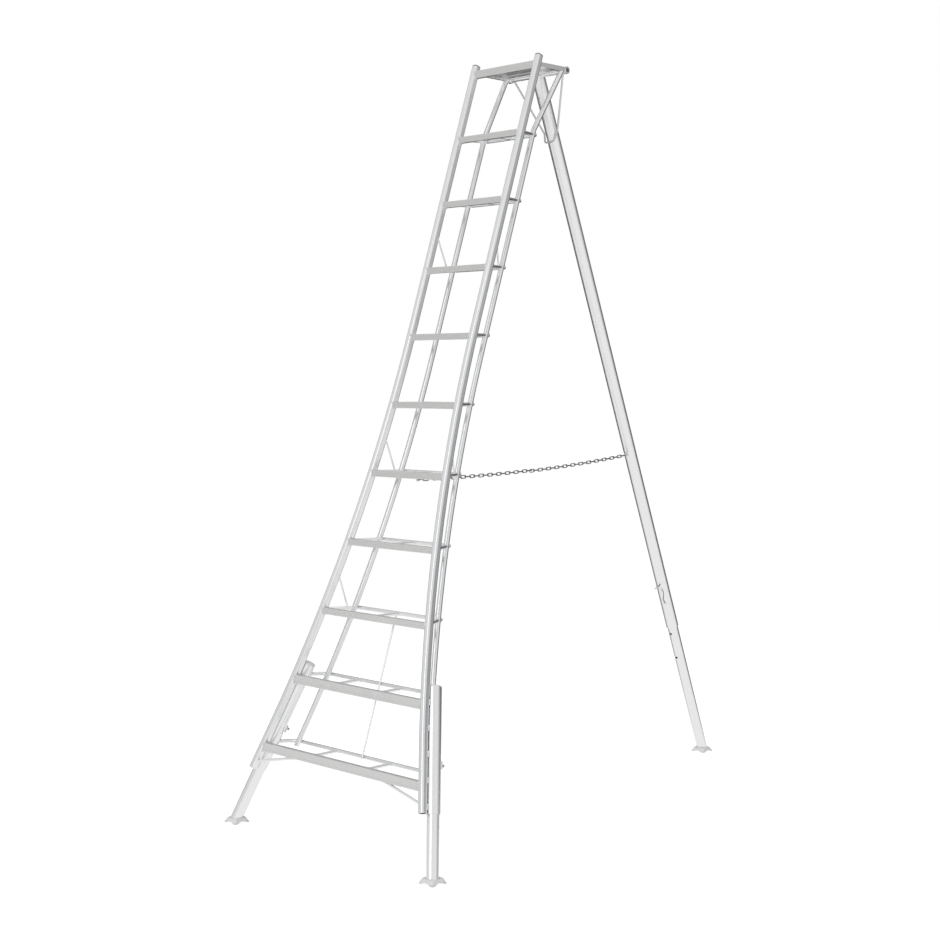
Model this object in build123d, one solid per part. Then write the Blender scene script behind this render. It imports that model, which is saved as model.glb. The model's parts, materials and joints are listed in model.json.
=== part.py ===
from build123d import *
import os
from math import asin, cos, degrees, radians, sin, sqrt, tan

# An aluminium tripod ladder for orchard work: a flared front frame with ten steps and a small
# platform, a folding back leg, three telescopic feet, and a chain that limits the spread.
#
# Millimetres. +X is the climber's right, +Y points from the front frame to the back leg, +Z is up.
# The origin is on the ground, in the middle of the rectangle that the three feet fit in.

# ---- driving dimensions ----

# front frame
LEAN = 18.44                # the front frame leans back from the vertical, degrees
SLOPE_TOP = 3177            # height above the ground of the zero mark of the slope
STEP_COUNT = 10
STEP_PITCH = 300            # from step to step, down the slope
TALL_STEPS = (9, 10)        # the two lowest steps have a deeper front rail

STILE_WIDTH = 28
STILE_DEPTH = 32
STILE_CORNER = 9
STILE_WALL = 2.5
STILE_X = 185               # centre line of the right stile above the flare
STILE_TOP = -47             # down the slope from the zero mark
STILE_BOTTOM = 3095
FLARE_START = 1140
FLARE_RADIUS = 5900
FLARE_DROP = 1760           # the arc's drop, after which the stiles run straight

RAIL_DEPTH = 24
RAIL_HEIGHT = 26
TALL_RAIL_HEIGHT = 37
RAIL_WALL = 2.2
GROOVE_WIDTH = 2.0
GROOVE_DEPTH = 0.8
GROOVE_PITCH = 5.0

REAR_TUBE_DIAMETER = 22
REAR_TUBE_WALL = 2
REAR_TUBE_SETBACK = 114     # level distance from the front rails to the rear tubes
REAR_TUBE_X = 145           # centre line of the right rear tube above its flare
REAR_TUBE_LAG = 136         # its flare starts this much lower than the stile's
REAR_TUBE_BEND = 236        # down the slope, where it turns back to the platform
REAR_TUBE_BOTTOM = 2968

STRAP_DIAMETER = 16
STRAP_WALL = 2
STRAP_CORNER = 80           # of the two bent straps behind the tall steps
STRAP_INSET = 15            # from the stile's centre line to a bent strap's side run
STRAP_END_INSET = 2         # from a rear tube's centre line to a straight strap's end
LINK_INSET = 10             # from the stile's centre line to the link's end
RIB_DIAMETER = 14
RIB_WALL = 2
WELD_GAP = 0.05             # between round tubes that cross and are welded

BRACED_STEPS = (3, 6, 8)
BRACE_DIAMETER = 6.5
BRACE_RISE = 160            # up the stile from the step that the brace holds
BRACE_INSET = 10            # from the stile's centre line to the brace's end
BRACE_SHARE = 0.78          # along the link, from the stile to the rear tube
TIE_ROD_DIAMETER = 8
STRUT_DIAMETER = 12
STRUT_RUN = 0.5             # where the strut meets the lowest rail, as a share of its half length

# platform
PLATFORM_RISE = 8           # centre of the platform's front rail above the zero mark
PLATFORM_RAIL_HEIGHT = 32
PLATFORM_DEPTH = 211.5      # from the zero mark to the hinge axis
SIDE_RAIL_X = 163.9
SIDE_RAIL_WIDTH = 14
SIDE_RAIL_HEIGHT = 20
LUG_RADIUS = 16
SLAT_COUNT = 3
SLAT_WIDTH = 38
SLAT_HEIGHT = 14
SLAT_WALL = 1.8

# back leg
AXLE_DIAMETER = 24
AXLE_WALL = 2.5
AXLE_LENGTH = 344
AXLE_RISE = 12              # above the zero mark
RUNNING_FIT = 0.05
BACK_LEAN = 21.18
OUTER_LENGTH = 2715
SLEEVE_DIAMETER = 58
SLEEVE_WALL = 3.5
LEG_DIAMETER = 50
LEG_WALL = 3
INNER_TOP = 2190            # down the back leg from the hinge axis
LOCK_PIN_DROP = 2485
LOCK_PIN_DIAMETER = 11
LOCK_HOLE_PITCH = 131
LOCK_HOLES_ABOVE = 2
LOCK_HOLES_BELOW = 3

BRACE_WIRE_DIAMETER = 8
BRACE_WIRE_X = 147
BRACE_WIRE_DROP = 290

# front leg sleeves and latches
SLEEVE_TOP = 2630
SLEEVE_OUTWARD = 12         # the sleeve stands a little outside the stile
SLEEVE_BACK = 45.1
SLEEVE_CAP_HEIGHT = 14
FRONT_LEG_INSIDE = 330      # of the leg's length up inside the sleeve at rest
FRONT_HOLE_PITCH = 60
FRONT_HOLES_ABOVE = 2
FRONT_HOLES_BELOW = 2
LATCH_DROP = 2912
LATCH_LENGTH = 32
LATCH_WIDTH = 18
LATCH_DEPTH = 12
PLUNGER_DIAMETER = 8
HOLE_CLEARANCE = 0.6        # between a leg's latch holes and the plunger or lock pin
PLUNGER_TIP = 26            # from the leg's axis when the plunger is drawn back
KNOB_DIAMETER = 12
KNOB_LENGTH = 6
WELD_PITCH = 100
WELD_COUNT = 5
WELD_LENGTH = 20
WELD_RADIUS = 5

# feet
FOOT_SIZE = 78
FOOT_TOP_SIZE = 62
FOOT_HEIGHT = 20
FOOT_SHEET = 4
FOOT_ARCH_RADIUS = 40
FOOT_ARCH_RISE = 8

# chain
LINK_WIRE = 4
LINK_INNER_LENGTH = 27.6
LINK_OUTER_WIDTH = 16
LINK_CLEARANCE = 0.25
CHAIN_SAG = 17
CHAIN_X = 9                 # the two chain halves hang side by side, this far off the centre plane
CHAIN_PIVOT_BACK = 150.3    # front half's pivot: distance behind the slope plane
CHAIN_PIVOT_DOWN = 1772.5
CHAIN_STEP = 6
LEAD_LINKS = 3
FRONT_CHAIN_LINKS = 22
REAR_CHAIN_LINKS = 24
CHAIN_EYE_DROP = 1787
CHAIN_EYE_FORWARD = 48
LUG_THICKNESS = 4
LUG_HOLE_DIAMETER = 7
LUG_EDGE = 9                # from the hole's centre to the frame lug's sides
LEG_LUG_TIP = (6, 55)       # the leg lug's half width and its distance from the leg's axis
LEG_LUG_ROOT = (14, 20)

EDGE = 1.0                  # small edge radius
FAR = 6000                  # larger than the ladder, for cutting planes

sin_lean, cos_lean = sin(radians(LEAN)), cos(radians(LEAN))
sin_back, cos_back = sin(radians(BACK_LEAN)), cos(radians(BACK_LEAN))
flare_angle = asin(FLARE_DROP / FLARE_RADIUS)
link_spacing = LINK_INNER_LENGTH - LINK_CLEARANCE
sleeve_direction = (sin(flare_angle), cos(flare_angle))
rear_tube_back = REAR_TUBE_SETBACK * cos_lean
rear_flare_start = FLARE_START + REAR_TUBE_LAG - REAR_TUBE_SETBACK * sin_lean
strap_back = rear_tube_back + (REAR_TUBE_DIAMETER + STRAP_DIAMETER) / 2 + WELD_GAP

# The slope's zero mark is placed so that the front and back feet stand evenly about the origin.
front_run = (SLOPE_TOP - FOOT_HEIGHT - SLEEVE_BACK * sin_lean) / cos_lean
front_reach = SLEEVE_BACK * cos_lean - front_run * sin_lean
back_run = (SLOPE_TOP + AXLE_RISE - FOOT_HEIGHT) / cos_back
back_reach = PLATFORM_DEPTH + back_run * sin_back
slope_y = -(front_reach + back_reach) / 2

os.makedirs("parts", exist_ok=True)


def write(name, shape):
    """Write one sub-part as parts/name.step, as separate solids when it has several."""
    solids = shape.solids()
    body = solids[0] if len(solids) == 1 else Compound(children=list(solids))
    export_step(body, f"parts/{name}.step")


# ---- coordinates ----

def slope_point(x, down, back):
    """A point given by its distance down the slope and behind the stiles' centre plane."""
    return Vector(
        x,
        slope_y - down * sin_lean + back * cos_lean,
        SLOPE_TOP - down * cos_lean - back * sin_lean,
    )


def level_point(x, step, setback, rise):
    """A point set back level from a front rail's centre, and raised."""
    return slope_point(x, step * STEP_PITCH, 0) + Vector(0, setback, rise)


def leg_point(x, along, forward):
    """A point given by its distance down the back leg and in front of the leg's axis."""
    return hinge + Vector(
        x,
        along * sin_back - forward * cos_back,
        -along * cos_back - forward * sin_back,
    )


def flare_x(straight_x, start, down):
    """Sideways place of a flared centre line at a distance down the slope."""
    drop = max(0, down - start)
    if drop <= FLARE_DROP:
        return straight_x + FLARE_RADIUS - sqrt(FLARE_RADIUS**2 - drop**2)
    arc_end = straight_x + FLARE_RADIUS * (1 - cos(flare_angle))
    return arc_end + (drop - FLARE_DROP) * tan(flare_angle)


def stile_x(down):
    return flare_x(STILE_X, FLARE_START, down)


def sleeve_point(distance, out=0, back=0):
    """A point on the right sleeve, by its distance along the axis below the end of the flare."""
    along_x, along_down = sleeve_direction
    x = stile_x(FLARE_START + FLARE_DROP)
    x += distance * along_x + (SLEEVE_OUTWARD + out) * along_down
    down = FLARE_START + FLARE_DROP + distance * along_down - (SLEEVE_OUTWARD + out) * along_x
    return slope_point(x, down, SLEEVE_BACK + back)


def sleeve_distance(down):
    """Distance along the sleeve's axis at which the stile has come this far down the slope."""
    return (down - FLARE_START - FLARE_DROP) / sleeve_direction[1]


hinge = Vector(0, slope_y + PLATFORM_DEPTH, SLOPE_TOP + AXLE_RISE)
slope_normal = Vector(0, cos_lean, -sin_lean)
slope_plane = Plane(origin=slope_point(0, 0, 0), x_dir=(1, 0, 0), z_dir=slope_normal)
leg_forward = Vector(0, -cos_back, -sin_back)


# ---- building blocks ----

def rod(start, end, diameter):
    """A solid round bar between two points."""
    length = (end - start).length
    return extrude(Plane(origin=start, z_dir=end - start) * Circle(diameter / 2), length)


def tube(start, end, diameter, wall):
    """A round tube between two points."""
    length = (end - start).length
    ring = Circle(diameter / 2) - Circle(diameter / 2 - wall)
    return extrude(Plane(origin=start, z_dir=end - start) * ring, length)


def bent_bar(path, diameter, wall=0):
    """A round bar, or a tube when it has a wall, bent along a path."""
    section = Circle(diameter / 2)
    if wall:
        section -= Circle(diameter / 2 - wall)
    return sweep(Plane(origin=path @ 0, z_dir=path % 0) * section, path=path)


def largest(shape):
    """The main solid of a shape, without any offcuts."""
    return shape.solids().sort_by(SortBy.VOLUME)[-1]


def mirrored(solid):
    """The left-hand copy of a right-hand part."""
    return solid.mirror(Plane.YZ)


def above(height):
    """Everything above a level."""
    return Pos(0, 0, height + FAR / 2) * Box(FAR, FAR, FAR)


def below(height):
    """Everything below a level."""
    return Pos(0, 0, height - FAR / 2) * Box(FAR, FAR, FAR)


# ---- front frame ----

def flared_path(straight_x, top, start, bottom, back):
    """A centre line down the slope: straight, then an arc outwards, then straight again."""
    drop = min(bottom - start, FLARE_DROP)
    turn = asin(drop / FLARE_RADIUS)
    upper = Line((straight_x, top, back), (straight_x, start, back))
    arc = CenterArc(
        (straight_x + FLARE_RADIUS, start, back), FLARE_RADIUS, 180, -degrees(turn)
    )
    edges = [upper, arc]
    if bottom - start > FLARE_DROP:
        end = (flare_x(straight_x, start, bottom), bottom, back)
        edges.append(Line(arc @ 1, end))
    return Wire([edge for line in edges for edge in line.edges()])


def stile_section(inset=0):
    return RectangleRounded(
        STILE_WIDTH - 2 * inset, STILE_DEPTH - 2 * inset, STILE_CORNER - inset
    )


def build_stile():
    path = flared_path(STILE_X, STILE_TOP, FLARE_START, STILE_BOTTOM, 0)
    section = stile_section() - stile_section(STILE_WALL)
    start = Plane(origin=(STILE_X, STILE_TOP, 0), x_dir=(1, 0, 0), z_dir=(0, 1, 0))
    return largest(sweep(start * section, path=path).moved(slope_plane.location))


def stile_stubs(down):
    """Short straight solid lengths of both stiles at one level, for coping what meets them."""
    tangent = (slope_point(stile_x(down + 1), down + 1, 0) - slope_point(stile_x(down), down, 0))
    middle = Plane(
        origin=slope_point(stile_x(down), down, 0),
        x_dir=slope_normal.cross(tangent),
        z_dir=tangent,
    )
    right = largest(extrude(middle * stile_section(), 80, both=True))
    return [right, mirrored(right)]


def build_stile_cap():
    """A push-in plastic cap with a crowned top."""
    plane = Plane(origin=(STILE_X, STILE_TOP, 0), x_dir=(1, 0, 0), z_dir=(0, -1, 0))
    crown = extrude(plane * stile_section(), 5)
    crown = fillet(crown.faces().filter_by(GeomType.PLANE).sort_by(Axis.Y)[0].edges(), 2.5)
    plug = extrude(plane * stile_section(STILE_WALL + 0.2), -12)
    return largest((crown + plug).moved(slope_plane.location))


def rail_height(step):
    return TALL_RAIL_HEIGHT if step in TALL_STEPS else RAIL_HEIGHT


def ribbed_section(depth, height):
    """Hollow rail section with grip grooves along its front and top. X is back, Y is up."""
    section = RectangleRounded(depth, height, 2)
    section -= RectangleRounded(depth - 2 * RAIL_WALL, height - 2 * RAIL_WALL, 1)
    front_grooves = int((height - GROOVE_PITCH) / GROOVE_PITCH)
    for n in range(front_grooves):
        level = (n - (front_grooves - 1) / 2) * GROOVE_PITCH
        section -= Pos(-depth / 2, level) * Rectangle(2 * GROOVE_DEPTH, GROOVE_WIDTH)
    top_grooves = int((depth - GROOVE_PITCH) / GROOVE_PITCH)
    for n in range(top_grooves):
        place = (n - (top_grooves - 1) / 2) * GROOVE_PITCH
        section -= Pos(place, height / 2) * Rectangle(GROOVE_WIDTH, 2 * GROOVE_DEPTH)
    return section


def build_rail(centre, down, height):
    """A front rail whose ends are coped to the two stiles."""
    plane = Plane(origin=centre, x_dir=(0, 1, 0), z_dir=(1, 0, 0))
    bar = extrude(plane * ribbed_section(RAIL_DEPTH, height), stile_x(down), both=True)
    return largest(bar - stile_stubs(down))


def strap_rise(step):
    """The strap's top is level with the rail's top."""
    return (rail_height(step) - STRAP_DIAMETER) / 2


def strap_setback(step):
    return (strap_back + strap_rise(step) * sin_lean) / cos_lean


def rear_tube_point(step):
    """Where the right rear tube's centre line passes at the height of a step's strap."""
    rise = strap_rise(step)
    down = step * STEP_PITCH - (rear_tube_back * sin_lean + rise) / cos_lean
    return slope_point(flare_x(REAR_TUBE_X, rear_flare_start, down), down, rear_tube_back)


def rear_tube_stub(step):
    """A short straight solid length of the right rear tube at a strap, for coping the links."""
    middle = rear_tube_point(step)
    along = (rear_tube_point(step + 0.05) - rear_tube_point(step - 0.05)).normalized() * 40
    return largest(rod(middle - along, middle + along, REAR_TUBE_DIAMETER + 2 * WELD_GAP))


def bent_strap_path(step):
    """U-shaped centre line behind a tall step, from one sleeve round to the other."""
    side, rear = stile_x(step * STEP_PITCH) - STRAP_INSET, strap_setback(step)
    corners = [(side, SLEEVE_BACK), (side, rear), (-side, rear), (-side, SLEEVE_BACK)]
    points = [level_point(x, step, y, strap_rise(step)) for x, y in corners]
    return FilletPolyline(*points, radius=STRAP_CORNER)


def straight_strap_end(step):
    """The right end of the straight strap that lies behind the two rear tubes."""
    x = rear_tube_point(step).X - STRAP_END_INSET
    return level_point(x, step, strap_setback(step), strap_rise(step))


def build_solid_strap(step):
    """The strap's bar without its bore, for coping what meets it."""
    if step in TALL_STEPS:
        return largest(bent_bar(bent_strap_path(step), STRAP_DIAMETER))
    end = straight_strap_end(step)
    return largest(rod(Vector(-end.X, end.Y, end.Z), end, STRAP_DIAMETER))


def build_strap(step, sleeves):
    """The tube that runs behind a step."""
    if step in TALL_STEPS:
        strap = bent_bar(bent_strap_path(step), STRAP_DIAMETER, STRAP_WALL)
        stub = rear_tube_stub(step)
        return largest(largest(strap - sleeves) - [stub, mirrored(stub)])
    end = straight_strap_end(step)
    return largest(tube(Vector(-end.X, end.Y, end.Z), end, STRAP_DIAMETER, STRAP_WALL))


def link_ends(step):
    """Where the centre line of a step's right link meets the stile and the rear tube."""
    stile_end = level_point(stile_x(step * STEP_PITCH) - LINK_INSET, step, 0, strap_rise(step))
    return stile_end, rear_tube_point(step)


def build_link_tube(step, rail, wall=STRAP_WALL):
    """A tube from the right stile back to the right rear tube, coped at both ends."""
    stile_end, rear_end = link_ends(step)
    if wall:
        link = tube(stile_end, rear_end, STRAP_DIAMETER, wall)
    else:
        link = rod(stile_end, rear_end, STRAP_DIAMETER)
    link = largest(link - stile_stubs(step * STEP_PITCH))
    return largest(largest(link - rear_tube_stub(step)) - rail)


def rib_places(step):
    """Sideways places of the ribs between a front rail and its strap."""
    if step in TALL_STEPS:
        third = stile_x(step * STEP_PITCH) / 3
        return (-third, third)
    return (0,)


def build_rib(step, x, strap):
    """A short tube from a front rail to the strap behind it."""
    start = level_point(x, step, RAIL_DEPTH / 2, strap_rise(step))
    end = level_point(x, step, strap_setback(step), strap_rise(step))
    rib = tube(start, end, RIB_DIAMETER, RIB_WALL) - strap
    return largest(rib)


def build_rear_tube():
    """Right rear tube: up from the lowest strap to a bend at step 1, then back to the platform."""
    start = rear_flare_start
    corner = slope_point(REAR_TUBE_X, REAR_TUBE_BEND, rear_tube_back)
    side_rail_bottom = platform_top() - SIDE_RAIL_HEIGHT
    top = Vector(SIDE_RAIL_X, slope_y + PLATFORM_DEPTH - 25, side_rail_bottom + 8)
    middle = slope_point(REAR_TUBE_X, start, rear_tube_back)
    upper = FilletPolyline(top, corner, middle, radius=60)
    lower = flared_path(
        REAR_TUBE_X, start - 1, start, REAR_TUBE_BOTTOM, rear_tube_back
    ).moved(slope_plane.location)
    arc = lower.edges().sort_by(SortBy.LENGTH)[-1]
    path = Wire(list(upper.edges()) + [arc])
    bar = bent_bar(path, REAR_TUBE_DIAMETER, REAR_TUBE_WALL) - above(side_rail_bottom)
    return largest(bar)


def build_side_brace(step, rail):
    """A thin rod from the right stile, above a step, down to the link near the rear tube."""
    down = step * STEP_PITCH - BRACE_RISE
    start = slope_point(stile_x(down) - BRACE_INSET, down, 0)
    stile_end, rear_end = link_ends(step)
    end = stile_end + (rear_end - stile_end) * BRACE_SHARE
    brace = rod(start, end, BRACE_DIAMETER) - stile_stubs(down)
    return largest(largest(brace) - build_link_tube(step, rail, wall=0))


def build_tie_rod(straps, ribs):
    """A rod down the centre line that joins the straps of the three lowest steps."""
    back = strap_back - (STRAP_DIAMETER + TIE_ROD_DIAMETER) / 2 - WELD_GAP
    first, last = TALL_STEPS[0] - 1, TALL_STEPS[-1]
    lead = strap_back * tan(radians(LEAN))
    start = slope_point(0, first * STEP_PITCH - lead, back)
    end = slope_point(0, last * STEP_PITCH - lead, back)
    bar = rod(start, end, TIE_ROD_DIAMETER)
    for solid in straps + ribs:
        bar = largest(bar - solid)
    return bar


def build_strut():
    """A strut from the right stile's foot up to the underside of the lowest rail."""
    step = STEP_COUNT
    half = stile_x(step * STEP_PITCH)
    down = step * STEP_PITCH + 66
    start = slope_point(stile_x(down), down, 0)
    end = level_point(half * STRUT_RUN, step, 0, -TALL_RAIL_HEIGHT / 2 + 8)
    rail_bottom = level_point(0, step, 0, -TALL_RAIL_HEIGHT / 2).Z
    bar = tube(start, end, STRUT_DIAMETER, 1.5) - stile_stubs(down)
    return largest(largest(bar) - above(rail_bottom))


# ---- platform ----

def platform_top():
    return SLOPE_TOP + PLATFORM_RISE + PLATFORM_RAIL_HEIGHT / 2


def platform_rail_centre():
    down = -PLATFORM_RISE / cos_lean
    return slope_point(0, down, 0)


def build_side_rail():
    """Right side rail of the platform, with a bored lug for the hinge axle."""
    front = platform_rail_centre().Y + RAIL_DEPTH / 2
    middle = platform_top() - SIDE_RAIL_HEIGHT / 2
    length = hinge.Y - front
    bar = Pos(SIDE_RAIL_X, front + length / 2, middle) * Box(
        SIDE_RAIL_WIDTH, length, SIDE_RAIL_HEIGHT
    )
    lug_end = Plane(
        origin=(SIDE_RAIL_X - SIDE_RAIL_WIDTH / 2, hinge.Y, hinge.Z), z_dir=(1, 0, 0)
    )
    lug = extrude(lug_end * Circle(LUG_RADIUS), SIDE_RAIL_WIDTH)
    bore = extrude(
        lug_end * Circle(AXLE_DIAMETER / 2 + RUNNING_FIT), SIDE_RAIL_WIDTH
    )
    return largest(bar + lug - bore)


def build_slat(n):
    """One hollow tread slat across the platform, grooved along its top."""
    front = platform_rail_centre().Y + RAIL_DEPTH / 2
    rear = hinge.Y - SLEEVE_DIAMETER / 2 - 4
    gap = (rear - front - SLAT_COUNT * SLAT_WIDTH) / SLAT_COUNT
    y = front + (n + 1) * gap + (n + 0.5) * SLAT_WIDTH
    section = RectangleRounded(SLAT_WIDTH, SLAT_HEIGHT, 2)
    section -= RectangleRounded(SLAT_WIDTH - 2 * SLAT_WALL, SLAT_HEIGHT - 2 * SLAT_WALL, 1)
    grooves = int((SLAT_WIDTH - GROOVE_PITCH) / GROOVE_PITCH)
    for groove in range(grooves):
        place = (groove - (grooves - 1) / 2) * GROOVE_PITCH
        section -= Pos(place, SLAT_HEIGHT / 2) * Rectangle(GROOVE_WIDTH, 2 * GROOVE_DEPTH)
    half = SIDE_RAIL_X - SIDE_RAIL_WIDTH / 2
    plane = Plane(
        origin=(0, y, platform_top() - SLAT_HEIGHT / 2), x_dir=(0, 1, 0), z_dir=(1, 0, 0)
    )
    return largest(extrude(plane * section, half, both=True))


# ---- front legs ----

def sleeve_ends():
    return sleeve_distance(SLEEVE_TOP), sleeve_distance(STILE_BOTTOM)


def build_sleeve(hollow=True):
    """Right leg sleeve, with a hole through its back wall for the latch plunger."""
    top, bottom = sleeve_ends()
    if not hollow:
        return largest(rod(sleeve_point(top), sleeve_point(bottom), SLEEVE_DIAMETER))
    sleeve = tube(sleeve_point(top), sleeve_point(bottom), SLEEVE_DIAMETER, SLEEVE_WALL)
    bore = plunger_bore(sleeve_distance(LATCH_DROP), PLUNGER_DIAMETER + 2 * RUNNING_FIT)
    return largest(sleeve - bore)


def plunger_bore(distance, diameter):
    """A round cut from a leg's axis out through the back."""
    start = sleeve_point(distance)
    return rod(start, start + slope_normal * 60, diameter)


def build_sleeve_cap():
    """A plug with a rounded crown in the sleeve's top."""
    top = sleeve_ends()[0]
    axis = sleeve_point(top - SLEEVE_CAP_HEIGHT) - sleeve_point(top)
    plane = Plane(origin=sleeve_point(top), z_dir=axis)
    crown = extrude(plane * Circle(SLEEVE_DIAMETER / 2), 8)
    crown = fillet(crown.faces().filter_by(GeomType.PLANE).sort_by(Axis.Z)[-1].edges(), 6)
    plug = extrude(plane * Circle(SLEEVE_DIAMETER / 2 - SLEEVE_WALL - 0.2), -SLEEVE_CAP_HEIGHT)
    return largest(crown + plug)


def build_sleeve_welds(stile, sleeve):
    """Short weld beads in the outer notch between the stile and the sleeve."""
    beads = []
    bottom = sleeve_ends()[1]
    for n in range(WELD_COUNT):
        middle = bottom - 30 - n * WELD_PITCH
        # the notch follows the stile, which curves away from the sleeve's axis above the flare's end
        down = FLARE_START + FLARE_DROP + middle * sleeve_direction[1]
        spot_x = stile_x(down) + STILE_WIDTH / 2 - 1
        back = STILE_DEPTH / 2 + 1
        half = WELD_LENGTH / 2
        start = slope_point(spot_x - half * sleeve_direction[0], down - half, back)
        end = slope_point(spot_x + half * sleeve_direction[0], down + half, back)
        bead = largest(rod(start, end, 2 * WELD_RADIUS) - stile_stubs(down) - sleeve) - stile
        beads.append(largest(bead))
    return beads


def build_latch_housing(sleeve):
    """A block behind the sleeve that guides the spring plunger."""
    distance = sleeve_distance(LATCH_DROP)
    axis = sleeve_point(distance + 1) - sleeve_point(distance)
    plane = Plane(origin=sleeve_point(distance), x_dir=axis, z_dir=slope_normal)
    depth = SLEEVE_DIAMETER / 2 + LATCH_DEPTH
    block = extrude(plane * RectangleRounded(LATCH_LENGTH, LATCH_WIDTH, 3), depth)
    block = fillet(block.faces().filter_by(GeomType.PLANE).sort_by(Axis.Y)[-1].edges(), EDGE) - sleeve
    block = block.solids().sort_by(Axis.Y)[-1]
    return largest(block - plunger_bore(distance, PLUNGER_DIAMETER + 2 * RUNNING_FIT))


def build_latch_plunger():
    """The plunger, drawn back so that its tip stands clear of the leg, with its pull knob."""
    centre = sleeve_point(sleeve_distance(LATCH_DROP))
    knob_start = SLEEVE_DIAMETER / 2 + LATCH_DEPTH + 9
    shank = rod(
        centre + slope_normal * PLUNGER_TIP, centre + slope_normal * knob_start, PLUNGER_DIAMETER
    )
    knob_plane = Plane(origin=centre + slope_normal * knob_start, z_dir=slope_normal)
    knob = extrude(knob_plane * Circle(KNOB_DIAMETER / 2), KNOB_LENGTH)
    knob = fillet(knob.edges(), 1.5)
    return largest(shank + knob)


def build_front_leg():
    """Right telescopic leg: a tube cut level at the foot, with latch holes up its back."""
    bottom = sleeve_ends()[1]
    top = sleeve_point(bottom - FRONT_LEG_INSIDE)
    low = sleeve_point(bottom + 400)
    leg = tube(top, low, LEG_DIAMETER, LEG_WALL) - below(FOOT_HEIGHT)
    latch = sleeve_distance(LATCH_DROP)
    for n in range(-FRONT_HOLES_ABOVE, FRONT_HOLES_BELOW + 1):
        leg -= plunger_bore(latch + n * FRONT_HOLE_PITCH, PLUNGER_DIAMETER + HOLE_CLEARANCE)
    return largest(leg)


def foot_centre(start, direction):
    """Where a leg's axis meets the top of its foot."""
    return start + direction * ((start.Z - FOOT_HEIGHT) / -direction.Z)


def build_foot(centre):
    """A four-clawed foot: a square cap whose corners turn down to the ground."""
    ground = Plane(origin=(centre.X, centre.Y, 0))
    top = Plane(origin=(centre.X, centre.Y, FOOT_HEIGHT))
    outer = loft([
        ground * RectangleRounded(FOOT_SIZE, FOOT_SIZE, 3),
        top * RectangleRounded(FOOT_TOP_SIZE, FOOT_TOP_SIZE, 12),
    ])
    under = Plane(origin=(centre.X, centre.Y, FOOT_HEIGHT - FOOT_SHEET))
    inner = loft([
        ground * RectangleRounded(FOOT_SIZE - 2 * FOOT_SHEET, FOOT_SIZE - 2 * FOOT_SHEET, 2),
        under * RectangleRounded(FOOT_TOP_SIZE - FOOT_SHEET, FOOT_TOP_SIZE - FOOT_SHEET, 10),
    ])
    foot = outer - inner
    arch = Pos(centre.X, centre.Y, FOOT_ARCH_RISE - FOOT_ARCH_RADIUS)
    for turn in (Rot(90, 0, 0), Rot(0, 90, 0)):
        foot -= arch * turn * Cylinder(FOOT_ARCH_RADIUS, 2 * FOOT_SIZE)
    return largest(foot)


# ---- back leg ----

def build_axle():
    half = Vector(AXLE_LENGTH / 2, 0, 0)
    return tube(hinge - half, hinge + half, AXLE_DIAMETER, AXLE_WALL)


def build_back_outer(axle):
    """The back leg's outer tube, notched over the axle at its top, with the lock pin's hole."""
    bar = tube(leg_point(0, 0, 0), leg_point(0, OUTER_LENGTH, 0), SLEEVE_DIAMETER, SLEEVE_WALL)
    bar -= axle
    bar -= lock_bore(0, LOCK_PIN_DIAMETER + 2 * RUNNING_FIT)
    return largest(bar)


def lock_bore(holes_down, diameter):
    """A round cut from the back leg's axis out through the front."""
    along = LOCK_PIN_DROP + holes_down * LOCK_HOLE_PITCH
    return rod(leg_point(0, along, 0), leg_point(0, along, 60), diameter)


def build_back_inner():
    low = leg_point(0, back_run + 60, 0)
    leg = tube(leg_point(0, INNER_TOP, 0), low, LEG_DIAMETER, LEG_WALL) - below(FOOT_HEIGHT)
    for n in range(-LOCK_HOLES_ABOVE, LOCK_HOLES_BELOW + 1):
        leg -= lock_bore(n, LOCK_PIN_DIAMETER + HOLE_CLEARANCE)
    return largest(leg)


def build_lock_pin():
    """Lock pin of the back leg, drawn back out of the inner tube, with a crossbar to pull it."""
    head = SLEEVE_DIAMETER / 2 + 12
    shank = rod(
        leg_point(0, LOCK_PIN_DROP, PLUNGER_TIP), leg_point(0, LOCK_PIN_DROP, head), LOCK_PIN_DIAMETER
    )
    crossbar = rod(
        leg_point(-15, LOCK_PIN_DROP + 8, head), leg_point(15, LOCK_PIN_DROP - 8, head), 6
    )
    return largest(shank + crossbar)


def build_lanyard():
    """A short cable hanging in a bend beside the lock pin, held on the tube by a rivet."""
    front = SLEEVE_DIAMETER / 2
    path = Spline(
        leg_point(13, LOCK_PIN_DROP + 12, front + 6),
        leg_point(20, LOCK_PIN_DROP + 40, front + 1),
        leg_point(12, LOCK_PIN_DROP + 66, front + 4),
        leg_point(14, LOCK_PIN_DROP + 86, front),
    )
    rivet = rod(
        leg_point(14, LOCK_PIN_DROP + 90, 20), leg_point(14, LOCK_PIN_DROP + 90, front + 1), 8
    )
    outer = rod(leg_point(0, 0, 0), leg_point(0, OUTER_LENGTH, 0), SLEEVE_DIAMETER)
    return bent_bar(path, 2.5) + rivet - outer


def build_wire_brace(axle):
    """A bent wire that braces the leg: from both ends of the axle down and round its front."""
    clear = (SLEEVE_DIAMETER + BRACE_WIRE_DIAMETER) / 2 + WELD_GAP
    side = [
        leg_point(BRACE_WIRE_X, 0, 0),
        leg_point(clear + 5, BRACE_WIRE_DROP - 35, 8),
        leg_point(clear - 9, BRACE_WIRE_DROP, clear),
    ]
    other = [Vector(-point.X, point.Y, point.Z) for point in reversed(side)]
    path = FilletPolyline(*side, *other, radius=12)
    return bent_bar(path, BRACE_WIRE_DIAMETER) - axle


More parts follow.
